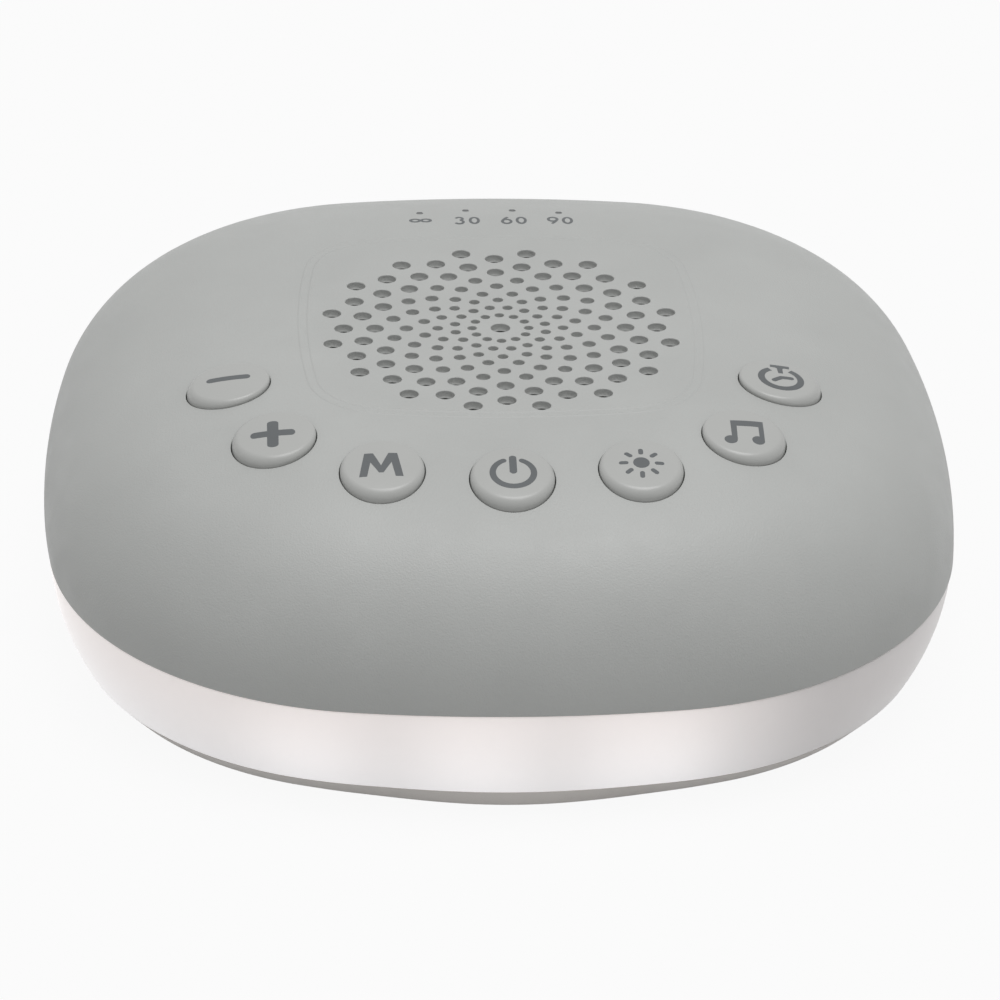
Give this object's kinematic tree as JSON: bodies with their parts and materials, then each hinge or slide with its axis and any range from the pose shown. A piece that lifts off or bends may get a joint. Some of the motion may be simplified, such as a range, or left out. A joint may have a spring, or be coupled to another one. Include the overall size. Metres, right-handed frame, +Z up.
{
  "type": "white noise sound machine",
  "caption": "Palm-sized rounded-square sound machine with a perforated domed top, push keys on an arc, timer lights and a translucent light band.",
  "frame": {"origin": "on the table under the centre of the housing", "axes": "+Z up, keys towards -Y, power socket towards +Y"},
  "size_m": [0.12, 0.12, 0.0415],
  "materials": {
    "shell": "fine matte moulded texture",
    "key": "satin, slightly glossy",
    "band": "translucent milky diffuser, satin",
    "base": "fine matte moulded texture",
    "foot": "matte",
    "cloth": "fine woven dust cloth",
    "gasket": "closed-cell foam",
    "steel": "plated pressed steel",
    "ferrite": "sintered ferrite",
    "cone_paper": "pressed paper pulp",
    "surround": "matte",
    "spider": "resin-treated cloth",
    "coil": "enamelled copper winding",
    "board": "white solder mask",
    "lamp": "diffused",
    "light_pipe": "clear moulded, diffused ends",
    "port": "plated shell",
    "chip": "moulded",
    "capacitor": "drawn can",
    "screw": "zinc plated",
    "plunger": "smooth",
    "switch": "moulded body"
  },
  "bodies": {
    "housing": {"top_shell": "shell", "grille_cloth": "cloth", "speaker_gasket": "gasket", "speaker_frame": "steel", "speaker_plate": "steel", "speaker_magnet": "ferrite", "speaker_yoke": "steel", "cone_surround": "surround", "cone_spider": "spider", "key_board": "board", "timer_lamps": "lamp", "timer_light_pipe": "light_pipe", "light_band": "band", "base_cover": "base", "main_board": "board", "power_port": "port", "sound_controller": "chip", "amplifier_chip": "chip", "supply_capacitor": "capacitor", "minus_switch": "switch", "plus_switch": "switch", "mode_switch": "switch", "power_switch": "switch", "light_switch": "switch", "music_switch": "switch", "timer_switch": "switch", "front_lamp_board": "board", "right_lamp_board": "board", "rear_lamp_board": "board", "left_lamp_board": "board", "speaker_screw_1": "screw", "speaker_screw_2": "screw", "speaker_screw_3": "screw", "speaker_screw_4": "screw", "housing_screw_1": "screw", "housing_screw_2": "screw", "housing_screw_3": "screw", "housing_screw_4": "screw", "foot_1": "foot", "foot_2": "foot", "foot_3": "foot", "foot_4": "foot"},
    "cone": {"speaker_cone": "cone_paper", "voice_coil": "coil", "dust_cap": "cone_paper"},
    "minus_button": {"minus_key": "key", "minus_plunger": "plunger"},
    "plus_button": {"plus_key": "key", "plus_plunger": "plunger"},
    "mode_button": {"mode_key": "key", "mode_plunger": "plunger"},
    "power_button": {"power_key": "key", "power_plunger": "plunger"},
    "light_button": {"light_key": "key", "light_plunger": "plunger"},
    "music_button": {"music_key": "key", "music_plunger": "plunger"},
    "timer_button": {"timer_key": "key", "timer_plunger": "plunger"}
  },
  "joints": [
    {"name": "minus_press", "type": "slide", "parent": "housing", "child": "minus_button", "axis": [0, 0, -1], "range_m": [0, 0.0005], "stiffness_N_per_m": 400, "springref_m": -0.0005},
    {"name": "plus_press", "type": "slide", "parent": "housing", "child": "plus_button", "axis": [0, 0, -1], "range_m": [0, 0.0005], "stiffness_N_per_m": 400, "springref_m": -0.0005},
    {"name": "mode_press", "type": "slide", "parent": "housing", "child": "mode_button", "axis": [0, 0, -1], "range_m": [0, 0.0005], "stiffness_N_per_m": 400, "springref_m": -0.0005},
    {"name": "power_press", "type": "slide", "parent": "housing", "child": "power_button", "axis": [0, 0, -1], "range_m": [0, 0.0005], "stiffness_N_per_m": 400, "springref_m": -0.0005},
    {"name": "light_press", "type": "slide", "parent": "housing", "child": "light_button", "axis": [0, 0, -1], "range_m": [0, 0.0005], "stiffness_N_per_m": 400, "springref_m": -0.0005},
    {"name": "music_press", "type": "slide", "parent": "housing", "child": "music_button", "axis": [0, 0, -1], "range_m": [0, 0.0005], "stiffness_N_per_m": 400, "springref_m": -0.0005},
    {"name": "timer_press", "type": "slide", "parent": "housing", "child": "timer_button", "axis": [0, 0, -1], "range_m": [0, 0.0005], "stiffness_N_per_m": 400, "springref_m": -0.0005},
    {"name": "cone_stroke", "type": "slide", "parent": "housing", "child": "cone", "axis": [0, 0, 1], "range_m": [-0.001, 0.001], "stiffness_N_per_m": 900, "deforming": ["cone_surround", "cone_spider"]}
  ]
}
